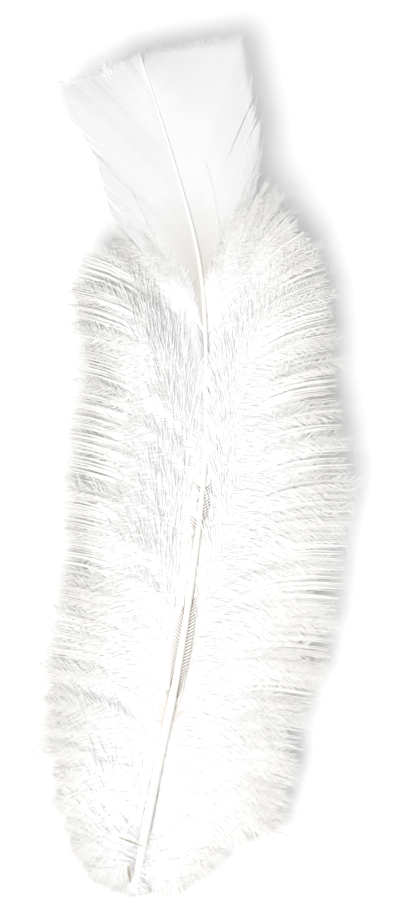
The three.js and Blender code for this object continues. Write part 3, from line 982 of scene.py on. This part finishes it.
def down_paths(side, rng):
    """All barbs of a side: own path mixed with the path of the strand, and the wisps; with their root y."""
    share = barb_shares(DOWN_BARBS[side], DOWN_COUNT, rng)
    strand = np.cumsum(rng.uniform(size=DOWN_COUNT) < 1 / STRAND_SIZE)
    middle = np.bincount(strand, share) / np.maximum(np.bincount(strand), 1)
    count = len(middle)
    stretch = rng.uniform(*STRAND_LENGTHS, count)[strand]
    turn = rng.normal(0, STRAND_TURN, count)[strand]
    layer = rng.uniform(*TOP_LAYERS, count)[strand]
    rows = smooth_through(DOWN_BARBS[side], share)
    shorter = OWN_SHORTER + OVERLAY_SHORTER * overlay_share(rows[:, 2])
    own = with_tips(
        rows, stretch * (1 - shorter * rng.uniform(0, 1, DOWN_COUNT) ** 2),
        turn + rng.normal(0, OWN_TURN, DOWN_COUNT))
    own[:, 2] = np.round(own[:, 2] / ROOT_PITCH) * ROOT_PITCH
    cover = shaft_cover(own[:, 2], rng)
    buried = rng.uniform(size=DOWN_COUNT) < UNDER_SHARE
    under = 1 - UNDER_DEPTH * rng.uniform(size=DOWN_COUNT) ** UNDER_POWER
    layer_own = np.where(buried, under, layer + rng.normal(0, LAYER_NOISE, DOWN_COUNT))
    own_paths = barb_paths(side, own, layer_own, cover)
    together = with_tips(smooth_through(DOWN_BARBS[side], middle[strand]), stretch, turn)
    together[:, 2] = own[:, 2]
    strand_paths = barb_paths(side, together, layer_own, cover)
    s = STEP_SHARE[None, :, None]
    pull = STRAND_PULL * (rising(s, *PULL) - STRAND_SPREAD * rising(s, *SPREAD))
    paths = own_paths + (strand_paths - own_paths) * np.where(buried, 0, 1)[:, None, None] * pull
    start = rng.uniform(0, 2 * np.pi, count)[strand][:, None]
    sway = SWAY * STEP_SHARE * np.sin(SWAY_TURN * STEP_SHARE + start)
    reach = unit((paths[:, -1] - paths[:, 0]) * [1, 1, 0])
    paths += np.cross(reach, UP)[:, None] * sway[..., None]
    wisps = np.array(WISPS[side])
    wisp_paths = barb_paths(side, wisps, np.ones(len(wisps)), np.zeros(len(wisps)))
    buried = np.concatenate([buried, np.zeros(len(wisps), bool)])
    return np.concatenate([own[:, 2], wisps[:, 2]]), np.concatenate([paths, wisp_paths]), buried


print("about", round(DOWN_COUNT / STRAND_SIZE), "strands on each side")

# %% [markdown]
# ## The inside of the down
# Inside, the down is so dense that no eye can tell its barbules apart, so flat ribbons stand in for them.
# They follow paths like those of the barbs, at random depths just below the top, wider the deeper they
# lie, and narrow to their tips, so the edge stays loose. In real down light passes from barb to barb, so
# single faces hardly show. We get that look by turning the normals of the down most of the way to
# straight up or straight down.

# %% Make the inside of the down
INNER_ROWS = {LEFT: slice(2, 15), RIGHT: slice(2, 18)}
SOFTEN = 0.9
INNER_COUNT = 620
INNER_TOP, INNER_DEPTH = 0.988, 0.08
INNER_DEPTH_POWER = 2.5
INNER_TURN = np.radians(1)
INNER_LENGTHS = (0.88, 1.0)
INNER_FIRST_STEP = 1
INNER_HALF_WIDTH, INNER_DEEP_WIDTH = 0.30, 0.45
INNER_HALF_THICKNESS = 0.04
INNER_TAPER = 0.85
INNER_TIP = (0.6, 0.4)
INNER_FIRST_WIDTH, INNER_GROWS_OVER = 0.1, 1.5
INNER_SEED = 60
BARE_EVERYWHERE = 0.15
BARE_MORE = 0.6
BARE_OVERLAY = 2.0


def bare_length(side, root_y):
    """Length of each barb without barbules: short, but longer at the bare stretches and at the vane."""
    return BARE_EVERYWHERE + BARE_OVERLAY * overlay_share(root_y) + BARE_MORE * bareness(side, root_y)


def inner_ribbons(side, rng):
    """Flat bars along barb paths, wider the deeper they lie, narrowing to their tips and bare bases."""
    guide = DOWN_BARBS[side][INNER_ROWS[side]]
    rows = smooth_through(guide, barb_shares(guide, INNER_COUNT, rng))
    rows = with_tips(rows, rng.uniform(*INNER_LENGTHS, INNER_COUNT), rng.normal(0, INNER_TURN, INNER_COUNT))
    depth = rng.uniform(0, 1, INNER_COUNT) ** INNER_DEPTH_POWER
    paths = barb_paths(side, rows, INNER_TOP - INNER_DEPTH * depth, np.zeros(INNER_COUNT))
    paths = paths[:, INNER_FIRST_STEP:]
    share = STEP_SHARE[INNER_FIRST_STEP:]
    width = INNER_HALF_WIDTH + (INNER_DEEP_WIDTH - INNER_HALF_WIDTH) * depth[:, None]
    width = width * (1 - INNER_TAPER * rising(share, *INNER_TIP))
    gone = np.linalg.norm(paths - paths[:, :1], axis=-1) - bare_length(side, rows[:, 2])[:, None]
    width = width * (INNER_FIRST_WIDTH + (1 - INNER_FIRST_WIDTH) * smoothstep(gone / INNER_GROWS_OVER))
    return bars(paths, width, INNER_HALF_THICKNESS, sides=4, share=share)


for side, name in ((LEFT, "down_left"), (RIGHT, "down_right")):
    ribbons = inner_ribbons(side, np.random.default_rng(INNER_SEED + side))
    piece(f"{name}_inner", ribbons, down_finish, name, smooth=True, soften=SOFTEN)

# %% [markdown]
# ## Growing the down
# Now rods and barbules are grown along the paths. Where the barbs are bare beside the shaft, their
# barbules start later. Buried barbs have fewer barbules, since they are hardly seen, and very short barbs
# have shorter ones. Each side is three pieces, so that no mesh gets too heavy.

# %% Make the down
BARBULES = 255
BURIED_BARBULES = 110
ROOT_BARBULE = 3.4
TIP_BARBULE = 3.2
BARBULE_HALF_WIDTH = 0.034
BARB_RADIUS, BARB_TAPER = 0.075, 0.3
FULL_GROWN = 8.0
PARTS = ("base", "middle", "top")
DOWN_SEED = 40


def grow_down(side, name):
    """Three pieces of down for a side, each of tapering rods with their barbules."""
    rng = np.random.default_rng(DOWN_SEED + side)
    root_y, paths, buried = down_paths(side, rng)
    reach = np.linalg.norm(paths[:, -1] - paths[:, 0], axis=-1)
    bare = bare_length(side, root_y) / reach
    grown = np.minimum(1, reach / FULL_GROWN)[:, None]
    overlay = overlay_share(root_y)
    radius = BARB_RADIUS * np.linspace(1, BARB_TAPER, DOWN_STEPS)
    order = np.argsort(root_y, kind="stable")
    for part, here in zip(PARTS, np.array_split(order, len(PARTS))):
        rods = bars(paths[here], radius, radius, sides=3, share=STEP_SHARE)
        kinds = ((here[~buried[here]], BARBULES), (here[buried[here]], BURIED_BARBULES))
        fluff = [
            barbules(
                paths[which], STEP_SHARE, bare[which], overlay[which], number, ROOT_BARBULE * grown[which],
                TIP_BARBULE * grown[which], BARBULE_HALF_WIDTH, rng)
            for which, number in kinds
        ]
        shape = join(rods, *fluff)
        piece(f"{name}_{part}", shape, down_finish, name, smooth=True, soften=SOFTEN)


grow_down(LEFT, "down_left")
grow_down(RIGHT, "down_right")

# %% [markdown]
# ## Surface, light and camera
# The feather lies on plain white. A large soft light at the lower left gives the shadow along its top and
# right edges, and a bright surrounding keeps that shadow light. Light that enters white down bounces many
# times before it leaves, so the path tracer may follow more bounces than usual. The camera looks straight
# down through a long lens. Here the surface, the light and the camera's height are in metres.

# %% Surface
FLOOR_SIZE = 5.0
FLOOR_TONE = 0.93


def floor():
    """A flat square at height 0, where the feather rests."""
    half = FLOOR_SIZE / 2
    mesh = bpy.data.meshes.new("floor")
    corners = [(-half, -half, 0), (half, -half, 0), (half, half, 0), (-half, half, 0)]
    mesh.from_pydata(corners, [], [(0, 1, 2, 3)])
    material, principled = new_material("white_surface")
    principled.inputs["Base Color"].default_value = (FLOOR_TONE, FLOOR_TONE, FLOOR_TONE, 1)
    principled.inputs["Roughness"].default_value = 0.9
    mesh.materials.append(material)
    obj = put("floor", mesh)
    return obj


print("surface:", floor().name)

# %% Light
KEY_PLACE = (-1.26, -1.50, 1.86)
KEY_SIZE = 2.4
KEY_POWER = 74.0
SURROUND = 0.72


def lights():
    """One large square light aimed at the feather, and an even white surrounding."""
    world = bpy.data.worlds.new("surround")
    world.use_nodes = True
    background = world.node_tree.nodes["Background"]
    background.inputs["Color"].default_value = (1, 1, 1, 1)
    background.inputs["Strength"].default_value = SURROUND
    bpy.context.scene.world = world
    lamp = bpy.data.lights.new("key", "AREA")
    lamp.size = KEY_SIZE
    lamp.energy = KEY_POWER
    obj = put("key", lamp)
    obj.location = KEY_PLACE
    towards = -obj.location
    obj.rotation_euler = towards.to_track_quat("-Z", "Y").to_euler()
    return obj


print("light at", tuple(round(v, 2) for v in lights().location))

# %% Bounces
BOUNCES = 18
BOUNCES_THROUGH = 10
light_paths = bpy.context.scene.cycles
light_paths.max_bounces = BOUNCES
light_paths.diffuse_bounces = BOUNCES
light_paths.transmission_bounces = BOUNCES_THROUGH
print("bounces:", light_paths.max_bounces)

# %% Camera
PHOTO_HEIGHT = 923
MM_PER_PIXEL = 0.176
PHOTO_CENTRE = (0.88, 0.97)
CAMERA_HEIGHT = 0.9
SENSOR_HEIGHT = 36.0


def camera():
    """A long lens straight above: its focal length makes the photo's height fill the sensor's height."""
    data = bpy.data.cameras.new("camera")
    data.sensor_fit = "VERTICAL"
    data.sensor_height = SENSOR_HEIGHT
    data.lens = SENSOR_HEIGHT * CAMERA_HEIGHT / (PHOTO_HEIGHT * MM_PER_PIXEL * MM)
    obj = put("camera", data)
    obj.location = ((PHOTO_CENTRE[0] + moved[0]) * MM, (PHOTO_CENTRE[1] + moved[1]) * MM, CAMERA_HEIGHT)
    bpy.context.scene.camera = obj
    return obj


print("lens:", round(camera().data.lens, 1), "mm")
bpy.context.scene.view_settings.view_transform = "Standard"
